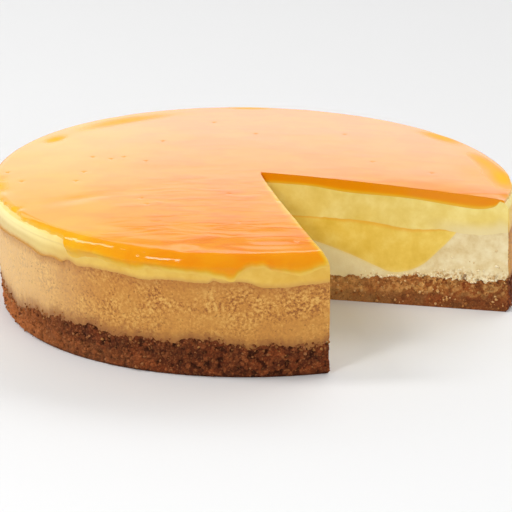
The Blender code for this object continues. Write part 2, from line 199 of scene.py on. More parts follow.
# Relief
WANDER_FROM = 0.1  # ragged lines start flat at the tip, over this share of the way
CRUMB_GRAIN = 0.8 * MM
CRUMB_GRAIN_SIZE = 1.9 * MM
CRUMB_CRACK = 0.3  # width of the cracks between the crumbs, as a share of their size
CRUMB_PIT = 0.8 * MM
CRUMB_PIT_SHIFT = 0.05  # a shift gives noise of the same size another pattern
TONE_STEP = 9.7  # spreads the crumbs' places, so that each one gets a tone of its own
HOLE_SIZE = 2.4 * MM
CRUST_CUT_SHARE = 0.45  # the crumbs' relief on the cuts, as a share of that on the wall
WALL_GRAIN = 0.16 * MM
TORN_REACH = 7.0 * MM  # the baked layer is torn up to this height above the crumb base
TORN_FROM = (0.55, 0.75)  # and from there outwards, in shares of the way from the tip
TORN_GRAIN = 0.35 * MM
TORN_PIT = 0.9 * MM
TORN_SHIFT = 0.1
EDGE_FADE = 2.5 * MM  # a wall's relief dies out over this on a cut face, and the other way round
TIP_FADE = 6.0 * MM
SOFT_FADE = 9.0 * MM  # the soft layers' relief dies out over this towards the top
FOOT_FADE = 2.0 * MM
FOOT_CHAMFER = 1.2 * MM
CHAMFER_TOP = 1 / 9  # a share of the crumb base's height
CHAMFER_FROM = 0.9  # a share of the way from the tip
CURD_BLEND = 1.6 * MM  # the curd and the baked layer colour each other over this

# Fineness of the meshes
RING_STEP = math.radians(0.30)
CUT_STEPS = 210
CRUST_ROWS = 28
BAKED_ROWS = 46
CURD_ROWS = 24
YELLOW_ROWS = 24
GLAZE_ROWS = 6
RIM_STEPS = 30
CAP_STEP = math.radians(5.0)
CAP_RINGS = 11
TOP_STEP = math.radians(1.7)
TOP_RINGS = 52
WELD = 0.001 * MM
SHARP = math.radians(50)

# Scattered things, with their radii. A crumb is an uneven ball, stretched and knobbly
WALL_CRUMBS = 1300
CRUMBS_ON_LINE = 0.4  # the share of them that lies along the crumb base's upper line
CUT_CRUMBS = 420
PALE_CRUMBS = 420
WALL_FLAKES = 500
CRUMB_RADIUS = 0.85 * MM
PALE_RADIUS = (0.25 * MM, 0.7 * MM)
FLAKE_RADIUS = (0.3 * MM, 0.85 * MM)
CRUMB_STRETCH = (0.6, 1.25)
CRUMB_KNOBS = (0.72, 1.12)
# Burst bubbles in the glaze's top, with rings of points round them: (degrees, distance from the
# tip in mm)
PIT_RADIUS = 0.8 * MM
PIT_DEPTH = 0.3 * MM
PIT_RINGS = 5
PIT_RING = 0.36 * MM
PIT_TURN = math.pi / 5
PITS = (
    (184.4, 109.2), (176.6, 116.7), (187.6, 84.8), (178.3, 81.3), (161, 83.1), (161.9, 73.5), (158, 69),
    (161, 56.5), (215.6, 65.8), (222.7, 68.9), (262.3, 71.4), (283.6, 42), (279.9, 93.2), (60, 81),
    (92, 68), (104, 94), (22, 56), (5, 79), (131, 71), (246, 36),
)

# Studio
FLOOR_REACH = 6.0
FLOOR_DROP = 0.05 * MM  # keeps the floor clear of the cake's foot
FLOOR_COLOUR = 0.78
# Brightness of the studio: (sine of the height above the floor, brightness)
BACK_PANEL = (
    (0.0, 1.2), (0.13, 1.75), (0.20, 2.15), (0.285, 2.1), (0.335, 1.85), (0.36, 1.55), (0.385, 1.8),
    (0.405, 1.75), (0.425, 1.45), (0.44, 0.7), (0.49, 0.5), (0.51, 2.8), (0.56, 2.8), (0.585, 0.5),
    (1.0, 0.4),
)
FRONT_PANEL = ((0.0, 0.45), (1.0, 0.5))
BACK_FROM = (-0.1, 0.7)  # the front panel goes over into the back one on this way towards +Y
# A strip of light behind on the right: the sines of its height, its softness, and its brightness
STRIP = (0.60, 0.75, 0.03, 4.5)
STRIP_FROM = (-0.2, 0.05)  # it fades in over this way towards +X
STRIP_BEHIND = (0.1, 0.4)  # and over this way towards +Y
DOME_STRENGTH = 0.86
# Soft lights: bearing and height in degrees, distance, size, watts
KEY_LIGHT = (178.0, 48.0, 2.5, (0.45, 1.1), 20.0)
WINDOW_LIGHT = (232.0, 38.0, 2.0, (0.4, 0.4), 10.0)
FILL_LIGHT = (302.0, 24.0, 2.2, (1.2, 0.8), 9.5)

# Camera
CAMERA_LENS = 186.9
CAMERA_SENSOR = 36.0
CAMERA_CLIP = 0.05
CAMERA_RISE = math.radians(18.30)
CAMERA_ROLL = math.radians(-0.376)
CAMERA_DISTANCE = 1.2
CAMERA_TARGET = (0.85 * MM, -36.94 * MM, 27.84 * MM)


def ease(share):
    """0 to 1 with level ends."""
    share = np.clip(share, 0.0, 1.0)
    return share * share * (3 - 2 * share)


def rise(value, low, high):
    """0 to 1 with level ends while a value goes from low to high, or down to it."""
    return ease((value - low) / (high - low))


def curve(points, at):
    """Heights on a smooth curve through (place, height) points."""
    x, y = np.array(points, float).T
    slope = np.empty_like(y)
    slope[1:-1] = (y[2:] - y[:-2]) / (x[2:] - x[:-2])
    slope[0] = (y[1] - y[0]) / (x[1] - x[0])
    slope[-1] = (y[-1] - y[-2]) / (x[-1] - x[-2])
    at = np.clip(at, x[0], x[-1])
    i = np.clip(np.searchsorted(x, at, side="right") - 1, 0, len(x) - 2)
    span = x[i + 1] - x[i]
    t = (at - x[i]) / span
    return (
        y[i] * (2 * t**3 - 3 * t**2 + 1)
        + slope[i] * span * (t**3 - 2 * t**2 + t)
        + y[i + 1] * (3 * t**2 - 2 * t**3)
        + slope[i + 1] * span * (t**3 - t**2)
    )


def lumps(points, size):
    """Even noise from -1 to 1 in lumps of that size."""
    flat = (np.asarray(points) / size).reshape(-1, 3).tolist()
    return np.array([noise.noise(p) for p in flat]).reshape(np.shape(points)[:-1])


def rough(points, waves):
    """Noise in several sizes, from (height, size) pairs with the sizes in millimetres."""
    return sum(height * lumps(points, size * MM) for height, size in waves)


def on_wall(points_at_wall, angle):
    """A table of heights at the wall, at every angle."""
    return curve(points_at_wall, np.degrees(angle)) * MM


def out_of_round(angle):
    """A factor on the radius of the plan, by the angle from the tip."""
    off_x, off_y = TIP[0] - TOP_MIDDLE[0], TIP[1] - TOP_MIDDLE[1]
    turn = angle + (off_y * np.cos(angle) - off_x * np.sin(angle)) / TOP_RADIUS
    factor = 1 - FLAT_DEPTH * np.exp(-(((turn - FLAT_AT) / FLAT_WIDTH) ** 2))
    for times, cosine, sine in OUT_OF_ROUND:
        factor = factor + cosine * np.cos(times * turn) + sine * np.sin(times * turn)
    return factor


def wall(angle, height):
    """Distance from the tip to the smooth wall at that angle and height."""
    share = height / HEIGHT
    radius = (FOOT_RADIUS + (TOP_RADIUS - FOOT_RADIUS) * share) * out_of_round(angle)
    off_x = TIP[0] - TOP_MIDDLE[0] - FOOT_SHIFT[0] * (1 - share)
    off_y = TIP[1] - TOP_MIDDLE[1] - FOOT_SHIFT[1] * (1 - share)
    along = off_x * np.cos(angle) + off_y * np.sin(angle)
    return -along + np.sqrt(along * along - off_x**2 - off_y**2 + radius * radius)


def cut_shift(angle, distance, height):
    """How far points near the last cut lie to the side of a flat cut."""
    share = np.clip(distance / CUT_LENGTH, 0.0, 1.0)
    most = BOW_RISE / (BOW_RISE + BOW_FALL)
    bow = CUT_BOW * (share / most) ** BOW_RISE * ((1 - share) / (1 - most)) ** BOW_FALL
    lean = CUT_LEAN * share * share * ease((HEIGHT - height) / CUT_FLARE)
    return (lean - bow) * ease(1 - (LAST_CUT - angle) / CUT_SPREAD)


def place(angle, distance, height):
    """Points at distances from the tip."""
    angle, distance, height = np.broadcast_arrays(angle, distance, height)
    side = cut_shift(angle, distance, height)
    x = TIP[0] + distance * np.cos(angle) - side * np.sin(angle)
    y = TIP[1] + distance * np.sin(angle) + side * np.cos(angle)
    return np.stack([x, y, height], axis=-1)


def patches(table, angle, distance):
    """The strength of soft-edged patches of the top at each place."""
    strength = np.zeros(np.broadcast(angle, distance).shape)
    for degrees, middle, length, width, most in table:
        turn = np.remainder(angle - math.radians(degrees) + math.pi, 2 * math.pi) - math.pi
        along = turn * distance / (length * MM)
        across = (distance - middle * MM) / (width * MM)
        strength += most * np.exp(-along * along - across * across)
    return strength


def top_depth(angle, distance):
    """How far the glaze's surface lies below its level: dents, pits and slow waves."""
    at = place(angle, distance, 0.0)
    deep = (patches(DENTS, angle, distance) - rough(at, TOP_WAVES)) * MM
    for degrees, middle in PITS:
        x, y = place(math.radians(degrees), middle * MM, 0.0)[:2]
        away = (at[..., 0] - x) ** 2 + (at[..., 1] - y) ** 2
        deep = deep + PIT_DEPTH * np.exp(-away / PIT_RADIUS**2)
    return deep


def level_top(angle, distance):
    """Height of the top, a low dome, before its waves and dents."""
    x = TIP[0] - TOP_MIDDLE[0] + distance * np.cos(angle)
    y = TIP[1] - TOP_MIDDLE[1] + distance * np.sin(angle)
    share = np.hypot(x, y) / TOP_RADIUS
    roll = ROLL * (np.maximum(0.0, share - ROLL_FROM) / (1 - ROLL_FROM)) ** 2 * rise(x, *ROLL_LEFT)
    fall = (RIM_FALL * rise(share, RIM_FALL_FROM, 1.0) + roll) * (0.5 - 0.5 * y / TOP_RADIUS)
    return HEIGHT + DOME * (1 - share * share) - fall - TOP_FALL * x


def boundary(along_cut, at_wall, outside, waves, angle, share):
    """A boundary between layers: past the share outside it goes over into its line on the wall."""
    at_edge = on_wall(at_wall, angle) - along_cut[-1][1] * MM
    level = curve(along_cut, share) * MM + at_edge * rise(share, outside, 1.0)
    at = place(angle, share * TOP_RADIUS, 0.0)
    return level + rough(at, waves) * MM * ease(share / WANDER_FROM)


def crust_top(angle, share):
    """Upper boundary of the crumb base, ragged by its crumbs."""
    return boundary(CRUST_TOP, CRUST_AT_WALL, CRUST_OUTSIDE, CRUST_LINE, angle, share)


def yellow_floor(angle, share):
    """Underside of the yellow layer."""
    return boundary(YELLOW_FLOOR, YELLOW_AT_WALL, CURD_EDGE, YELLOW_LINE, angle, share)


def curd_floor(angle, share):
    """Underside of the curd, a keel that ends in a thin edge."""
    deep = 1 + KEEL_SWAY * np.sin(2 * angle + KEEL_PHASE)
    top = YELLOW_FLOOR[0][1]
    level = top - (top - curve(CURD_FLOOR, share)) * np.where(share > 0, deep, 1.0)
    at = place(angle, share * TOP_RADIUS, 0.0)
    fade = ease(share / WANDER_FROM) * ease((CURD_EDGE - share) / WANDER_FROM)
    level = np.minimum(level + rough(at, CURD_LINE) * fade, CURD_FLOOR[-1][1] + CURD_LIP)
    return np.where(share < CURD_EDGE, level, CURD_FLOOR[-1][1]) * MM


def curd_top(angle, share):
    """Where the yellow layer's underside meets the curd, never below the curd's own floor."""
    return np.maximum(yellow_floor(angle, share), curd_floor(angle, share))


def glaze_floor(angle, distance):
    """Top of the yellow layer under the glaze: a shallow dish that rises to a lip."""
    share = distance / wall(angle, HEIGHT)
    depth = curve(GLAZE_DEPTH, share) * MM
    lip_end = 1 - SHOULDER / TOP_RADIUS
    depth = depth + (RIM_GLAZE - depth) * rise(share, lip_end - LIP_WIDTH, lip_end)
    return level_top(angle, distance) - depth


def run_of(drop):
    """The way along the shoulder's outline that goes down by a drop."""
    on_turn = SHOULDER * np.arccos(np.clip(1 - drop / SHOULDER, -1, 1))
    return np.where(drop < SHOULDER, on_turn, QUARTER_TURN + drop - SHOULDER)


def shoulder(angle, run):
    """The rim's outline: distances, heights and outward normals (out, up) along a run."""
    turn = np.minimum(run, QUARTER_TURN) / SHOULDER
    down = np.maximum(0.0, run - QUARTER_TURN)
    on_turn = wall(angle, HEIGHT) - SHOULDER * (1 - np.sin(turn))
    height = level_top(angle, on_turn) - RIM_GLAZE - SHOULDER * (1 - np.cos(turn)) - down
    distance = np.where(down > 0, wall(angle, height), on_turn)
    return distance, height, np.sin(turn), np.cos(turn)


def past_rim(u):
    """Share of the rim's way at a section's measure u, which is 0 on the level top."""
    return np.maximum(0.0, (u - RIM_START) / (1 - RIM_START))


def glaze_end(angle):
    """The run at which the glaze ends."""
    at = place(angle, TOP_RADIUS, 0.0)
    edge = on_wall(GLAZE_EDGE, angle) + rough(at, GLAZE_LINE) * MM
    return run_of(np.maximum(edge - EDGE_ROUND * RIM_GLAZE, LEAST_HANG))


def sunk(angle, run):
    """How deep the glaze has pressed into the rim at a run."""
    end = glaze_end(angle)
    return SUNK_GLAZE * rise(end, *SUNK_RUN) * rise(run / end, *SUNK_END)


def crust_section(angle, u, t):
    """Distances and heights in the crumb base: u from the tip to the wall, t from foot to top."""
    height = crust_top(angle, u) * t
    chamfer = FOOT_CHAMFER * rise(t, CHAMFER_TOP, 0.0) * rise(u, CHAMFER_FROM, 1.0)
    return u * wall(angle, height) - chamfer, height


def baked_section(angle, u, t):
    """The baked layer, which ends under the curd and outside it under the yellow layer."""
    lower = crust_top(angle, u)
    floor = np.where(u < CURD_EDGE, curd_floor(angle, u), yellow_floor(angle, u))
    height = lower + (np.maximum(floor, lower) - lower) * t
    return u * wall(angle, height), height


def curd_section(angle, u, t):
    """The curd, where u is 1 at its thin edge."""
    share = u * CURD_EDGE
    lower = curd_floor(angle, share)
    height = lower + (curd_top(angle, share) - lower) * t
    return share * wall(angle, height), height


def yellow_section(angle, u, t):
    """The yellow layer: its top follows the dish, and past RIM_START the rounded shoulder."""
    run = past_rim(u) * QUARTER_TURN
    on_rim = u >= RIM_START
    distance, height, out, up = shoulder(angle, run)
    distance = np.where(on_rim, distance, shoulder(angle, 0.0 * run)[0] * u / RIM_START)
    press = np.where(on_rim, sunk(angle, run), 0.0)
    upper = np.where(on_rim, height - press * up, glaze_floor(angle, distance))
    share = distance / wall(angle, HEIGHT)
    lower = np.where(share < CURD_EDGE, curd_top(angle, share), yellow_floor(angle, share))
    height = lower + (upper - lower) * t
    below = sunk(angle, QUARTER_TURN + np.maximum(0.0, upper - height))
    return np.where(u >= 1.0, wall(angle, height) - below, distance - press * out), height


def glaze_section(angle, u, t):
    """The glaze, from its underside at t 0 to its surface at t 1."""
    share = past_rim(u)
    end = glaze_end(angle)
    run = share * end
    distance, height, out, up = shoulder(angle, run)
    at = place(angle, distance, height)
    more, where, width = DRIP_SWELL
    uneven = rough(at, GLAZE_SWELL) * ease(share / width)
    swell = 1 + (more * np.exp(-(((share - where) / width) ** 2)) + uneven) * rise(end, *DRIP_RUN)
    bead = EDGE_GLAZE + (1 - EDGE_GLAZE) * rise(share, 1.0, BEAD)
    skin = RIM_GLAZE * swell * bead
    inner = -sunk(angle, run) * bead
    depth = inner + (skin - inner) * t
    flat_distance = shoulder(angle, 0.0 * run)[0] * u / RIM_START
    bottom = glaze_floor(angle, flat_distance)
    top = level_top(angle, flat_distance)
    on_top = u < RIM_START
    far = np.where(on_top, flat_distance, distance + out * depth)
    high = np.where(on_top, bottom + (top - bottom) * t, height + up * depth)
    return far, high - top_depth(angle, far) * ease(2 * t) * np.where(on_top, 1.0, up * up)


def side_steps():
    """All angles of a wall, from the first cut to the last."""
    return np.linspace(FIRST_CUT, LAST_CUT, int((LAST_CUT - FIRST_CUT) / RING_STEP) + 1)


def fades(angle, distance, reach):
    """How much of the wall's relief and of the cuts' relief each point takes."""
    from_wall = 1 - ease((reach - distance) / EDGE_FADE)
    turn = np.minimum(angle - FIRST_CUT, LAST_CUT - angle)
    from_cut = (1 - ease(turn * distance / EDGE_FADE)) * ease(distance / TIP_FADE)
    return from_wall, from_cut


def shaped(section, relief, angle, u, t):
    """Points of a layer's surface with its relief, and the values that its material reads."""
    angle, u, t = np.broadcast_arrays(angle, u, t)
    distance, height = section(angle, u, t)
    points = place(angle, distance, height)
    outer, at_cut = fades(angle, distance, section(angle, np.ones_like(u), t)[0])
    out, push, values = relief(points, angle, distance, u, t)
    heading = np.stack([np.cos(angle), np.sin(angle), np.zeros_like(angle)], axis=-1)
    side = np.stack([-np.sin(angle), np.cos(angle), np.zeros_like(angle)], axis=-1)
    points = points + heading * (out * outer)[..., None] + side * (push * at_cut)[..., None]
    return points, dict(values, skin=outer)


def crumb_depth(points):
    """The crumb base's rough surface: how far it stands out, and its pits and tones."""
    cells = [noise.voronoi(p) for p in (points.reshape(-1, 3) / CRUMB_GRAIN_SIZE).tolist()]
    apart = np.array([away[1] - away[0] for away, _ in cells]).reshape(points.shape[:-1])
    tone = np.array([noise.cell(near[0] * TONE_STEP) for _, near in cells]).reshape(apart.shape)
    crack = 1 - ease(apart / CRUMB_CRACK)
    pit = rise(lumps(points + CRUMB_PIT_SHIFT, HOLE_SIZE), 0.2, 0.5)
    grain = (1 - crack) * (0.5 + 0.5 * tone)
    out = rough(points, CRUMB_WAVES) * MM + CRUMB_GRAIN * (grain - 0.4) - CRUMB_PIT * pit
    return out, np.clip(0.75 * pit + 0.55 * crack, 0, 1), tone


def crust_relief(points, angle, distance, u, t):
    """Crumbs and pits, lower on the cuts, and none along the flat foot."""
    out, pit, tone = crumb_depth(points)
    out = out * ease(points[..., 2] / FOOT_FADE)
    return out, CRUST_CUT_SHARE * out, {"pit": pit, "tone": tone}


def baked_relief(points, angle, distance, u, t):
    """Low waves and fine grain on the wall, and on a cut small pits near the crumb base."""
    grain = rough(points, BAKED_GRAIN)
    out = rough(points, WALL_WAVES) * MM + WALL_GRAIN * grain
    above = (points[..., 2] - crust_top(angle, distance / TOP_RADIUS)) / TORN_REACH
    crumbly = np.clip(1 - above, 0, 1) * rise(distance / TOP_RADIUS, *TORN_FROM)
    hole = lumps(points + TORN_SHIFT, HOLE_SIZE) + 0.1 * crumbly
    torn = rise(hole, 0.25, 0.55) * crumbly
    push = rough(points, CUT_WAVES) * MM + TORN_GRAIN * crumbly * grain + TORN_PIT * torn
    share = distance / wall(angle, HEIGHT)
    to_curd = np.where(share < CURD_EDGE, curd_floor(angle, share) - points[..., 2], CURD_BLEND)
    return out, push, {"pit": torn, "crumbly": crumbly, "stain": 1 - ease(to_curd / CURD_BLEND)}


def smooth_relief(points, angle, distance, u, t):
    """The knife's low waves, for the soft layers, and lower ones on the wall below the top."""
    below_top = level_top(angle, distance) - points[..., 2]
    out = rough(points, SOFT_WALL_WAVES) * ease(below_top / SOFT_FADE)
    return out * MM, rough(points, SOFT_CUT_WAVES) * MM, {}


def curd_relief(points, angle, distance, u, t):
    """As the other soft layers, and the curd pales towards the baked layer under it."""
    out, push, _ = smooth_relief(points, angle, distance, u, t)
    above = points[..., 2] - curd_floor(angle, distance / wall(angle, HEIGHT))
    return out, push, {"stain": 1 - ease(above / CURD_BLEND)}


def glaze_depth(points, angle, distance, u, t):
    """The glaze's shape is all in its section. Its material reads how deep its colour is.

    It is deep on top and in the thick runs over the rim, and thins out towards its lower edge,
    its underside and the left cut.
    """
    share = past_rim(u)
    end = glaze_end(angle)
    thick = THIN_RUN_DEPTH + (1 - THIN_RUN_DEPTH) * rise(end, *DEEP_RUN)
    to_edge = (1 - share) * end / np.minimum(THIN_EDGE, 0.5 * end)
    over_rim = 1 + (thick * ease(to_edge) - 1) * ease(share * end / RIM_TURN)
    deep = np.where(u < RIM_START, 1, over_rim)
    from_cut = (LAST_CUT - angle) * distance
    thinned = THIN_AT_CUT * (1 - ease(from_cut / CUT_THINS)) * ease(distance / CUT_THINS_FROM)
    deep = deep * (1 - thinned * (t == 1)) * (1 - patches(THIN, angle, distance))
    on_cut = (angle == FIRST_CUT) | (angle == LAST_CUT)
    band = np.minimum(deep, UNDERSIDE_DEPTH + (1 - UNDERSIDE_DEPTH) * ease(t / UNDERSIDE))
    deep = np.where(on_cut & (t < 1), band, deep)
    dry = np.minimum(patches(DRY, angle, distance), 1.0)
    return 0 * deep, 0 * deep, {"deep": deep, "dry": dry}


def new_mesh(name, points, faces, values):
    """A mesh that holds numbers at each point, for its material to read."""
    mesh = bpy.data.meshes.new(name)
    mesh.from_pydata(points.tolist(), [], faces)
    for key, value in values.items():
        attribute = mesh.attributes.new(key, "FLOAT", "POINT")
        attribute.data.foreach_set("value", value.astype(np.float32))
    return mesh


class Layer:
    """Grids and caps of one closed layer, to be welded into one mesh."""

    def __init__(self, section, relief):
        self.section, self.relief = section, relief
        self.points, self.values, self.faces = [], {}, []
        self.count = 0

    def add(self, points, values, faces):
        self.faces += [tuple(self.count + i for i in face) for face in faces]
        self.points.append(points.reshape(-1, 3))
        for name, value in values.items():
            self.values.setdefault(name, []).append(np.asarray(value).reshape(-1))
        self.count += self.points[-1].shape[0]

    def grid(self, angle, u, t):
        """A grid of quads over two of the three measures. The third is a single number."""
        points, values = shaped(self.section, self.relief, angle, u, t)
        rows, columns = points.shape[:2]
        i = np.arange((rows - 1) * columns).reshape(rows - 1, columns)[:, :-1].reshape(-1)
        faces = np.stack([i, i + 1, i + columns + 1, i + columns], axis=-1)
        self.add(points, dict(values, level=0 * points[..., 0] + t), faces.tolist())

    def cap(self, shares, last, t, rings=CAP_RINGS, step=CAP_STEP, extra=()):
        """The top or underside out to u = last, over the fine edge and a coarser inside.

        extra holds more (angle, u) pairs for the inside.
        """
        ring = side_steps()
        shares = shares[shares <= last + 1e-9]
        angle = np.concatenate([np.full(len(shares), FIRST_CUT), ring[1:-1],
                                np.full(len(shares) - 1, LAST_CUT)])
        u = np.concatenate([shares, np.full(len(ring) - 2, shares[-1]), shares[:0:-1]])
        edge = len(u)
        inner = np.linspace(0, last, rings)[1:-1]
        turns = np.arange(FIRST_CUT + step, LAST_CUT - 0.5 * step, step)
        more = np.reshape(extra, (-1, 2))
        angle = np.concatenate([angle, np.repeat(turns, len(inner)), more[:, 0]])
        u = np.concatenate([u, np.tile(inner, len(turns)), more[:, 1]])
        points, values = shaped(self.section, self.relief, angle, u, np.full(len(u), t))
        plan = [Vector(p) for p in place(angle, u * TOP_RADIUS, 0.0)[:, :2].tolist()]
        around = [(i, (i + 1) % edge) for i in range(edge)]
        _, _, faces, origin, _, _ = delaunay_2d_cdt(plan, around, [], 1, 1e-9)
        faces = [[origin[i][0] for i in face] for face in faces]
        self.add(points, dict(values, level=np.full(len(u), t)), faces)

    def made(self, name, node):
        """Welds all grids and caps into the piece that stands for a node."""
        values = {key: np.concatenate(parts) for key, parts in self.values.items()}
        mesh = new_mesh(name, np.concatenate(self.points), self.faces, values)
        bm = bmesh.new()
        bm.from_mesh(mesh)
        bmesh.ops.remove_doubles(bm, verts=bm.verts, dist=WELD)
        bmesh.ops.recalc_face_normals(bm, faces=bm.faces)
        bm.to_mesh(mesh)
        bm.free()
        mesh.shade_smooth()
        mesh.set_sharp_from_angle(angle=SHARP)
        return piece(name, mesh, node)


def piece(name, mesh, node=None):
    """An object that rides on the cake, and stands for a node if one is named."""
    made = bpy.data.objects.new(name, mesh)
    bpy.context.scene.collection.objects.link(made)
    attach(made, BODY)
    if node:
        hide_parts(node)
    return made


def around_pits():
    """More points for the glaze's top where its small pits are, as (angle, u) pairs."""
    pairs = []
    for degrees, middle in PITS:
        middle_point = place(math.radians(degrees), middle * MM, 0.0)
        for ring in range(1, PIT_RINGS + 1):
            for turn in np.arange(0, 2 * math.pi, PIT_TURN) + ring:
                x = middle_point[0] + PIT_RING * ring * math.cos(turn) - TIP[0]
                y = middle_point[1] + PIT_RING * ring * math.sin(turn) - TIP[1]
                angle = math.atan2(y, x) % (2 * math.pi)
                angle -= 2 * math.pi if angle > LAST_CUT else 0
                start = float(shoulder(angle, 0.0)[0])
                pairs.append((angle, math.hypot(x, y) / start * RIM_START))
    return pairs


def build_layer(name, node, section, relief, rows, rim=False):
    """One closed layer. One with a rim has its section past RIM_START as rings, not as a cap."""
    layer = Layer(section, relief)
    ring = side_steps()
    last = RIM_START if rim else 1.0
    shares = np.linspace(0, last, CUT_STEPS + 1)
    if rim:
        past = RIM_START + (1 - RIM_START) * np.linspace(0, 1, RIM_STEPS + 1)
        shares = np.concatenate([shares[:-1], past])
    levels = np.linspace(0, 1, rows + 1)
    for cut in (FIRST_CUT, LAST_CUT):
        layer.grid(cut, shares[:, None], levels[None, :])
    layer.grid(ring[:, None], 1.0, levels[None, :])
    layer.cap(shares, last, 0.0)
    if section is glaze_section:
        layer.cap(shares, last, 1.0, TOP_RINGS, TOP_STEP, around_pits())
    else:
        layer.cap(shares, last, 1.0)
    if rim:
        for t in (0.0, 1.0):
            layer.grid(ring[:, None], past[None, :], t)
    return layer.made(name, node)


def scattered(name, middles, sizes, seed, cut=0.0):
    """Small irregular crumbs as one mesh, each with a tone of its own. cut is 1 on a cut face."""
    pick = np.random.default_rng(seed)
    bm = bmesh.new()
    bmesh.ops.create_icosphere(bm, subdivisions=2, radius=1.0)
    bm.verts.ensure_lookup_table()
    ball = np.array([v.co for v in bm.verts])
    triangles = np.array([[v.index for v in f.verts] for f in bm.faces])
    bm.free()
    count, corners = len(middles), len(ball)
    turns = np.linalg.qr(pick.normal(size=(count, 3, 3)))[0]
    stretch = pick.uniform(*CRUMB_STRETCH, (count, 1, 3))
    knobs = pick.uniform(*CRUMB_KNOBS, (count, corners, 1))
    shape = ball[None] * stretch * knobs * sizes[:, None, None]
    points = np.einsum("nij,nkj->nki", turns, shape) + middles[:, None, :]
    points[..., 2] = np.maximum(points[..., 2], 0.0)
    faces = triangles[None] + np.arange(count)[:, None, None] * corners
    values = {"tone": np.repeat(pick.random(count), corners),
              "cut": np.repeat(np.full(count, cut), corners)}
    mesh = new_mesh(name, points.reshape(-1, 3), faces.reshape(-1, 3).tolist(), values)
    mesh.shade_smooth()
    return piece(name, mesh)


def on_crust_wall(angle, share):
    """Points on the wall at a share of the crumb base's height."""
    height = on_wall(CRUST_AT_WALL, angle) * share
    surface = place(angle, wall(angle, height), height)
    return place(angle, wall(angle, height) + np.minimum(crumb_depth(surface)[0], 0.0), height)


def crust_crumbs():
    """Crumbs that stand out of the crumb base, more of them along its upper line."""
    pick = np.random.default_rng(11)
    angle = pick.uniform(FIRST_CUT, LAST_CUT, WALL_CRUMBS)
    share = np.where(pick.random(WALL_CRUMBS) < CRUMBS_ON_LINE,
                     pick.normal(0.99, 0.06, WALL_CRUMBS),
                     pick.uniform(0.04, 0.95, WALL_CRUMBS))
    wall_points = on_crust_wall(angle, share)
    share = pick.uniform(0.03, 0.99, CUT_CRUMBS)
    level = pick.uniform(0.06, 1.03, CUT_CRUMBS)
    angle = np.where(pick.random(CUT_CRUMBS) < 0.5, FIRST_CUT, LAST_CUT)
    cut_points, _ = shaped(crust_section, crust_relief, angle, share, level)
    middles = np.concatenate([wall_points, cut_points])
    sizes = pick.uniform(0.4, 1.0, len(middles)) ** 1.5 * CRUMB_RADIUS
    cut = np.arange(len(middles)) >= WALL_CRUMBS
    return scattered("crust_crumbs", middles, sizes, 12, cut)


def pale_crumbs():
    """Small torn flakes of the baked layer on its cut faces, near the crumb base."""
    pick = np.random.default_rng(21)
    share = pick.uniform(0.4, 0.995, PALE_CRUMBS)
    angle = np.where(pick.random(PALE_CRUMBS) < 0.5, FIRST_CUT, LAST_CUT)
    level = np.minimum(pick.exponential(0.12, PALE_CRUMBS), 0.9)
    middles, _ = shaped(baked_section, baked_relief, angle, share, level)
    sizes = pick.uniform(*PALE_RADIUS, PALE_CRUMBS)
    return scattered("pale_crumbs", middles, sizes, 22)


def wall_flakes():
    """Browned flakes of the baked wall where it meets the crumb base."""
    pick = np.random.default_rng(41)
    angle = pick.uniform(FIRST_CUT, LAST_CUT, WALL_FLAKES)
    share = pick.normal(1.0, 0.11, WALL_FLAKES)
    middles = on_crust_wall(angle, share)
    sizes = pick.uniform(*FLAKE_RADIUS, WALL_FLAKES)
    return scattered("wall_flakes", middles, sizes, 42)


def colour_numbers(tone):
    """Linear numbers of a screen colour, which goes from 0 to 255, or of a plain brightness."""
    if not isinstance(tone, tuple):
        return [tone] * 3
    parts = [part / 255 for part in tone]
    return [part / 12.92 if part <= 0.04045 else ((part + 0.055) / 1.055) ** 2.4 for part in parts]


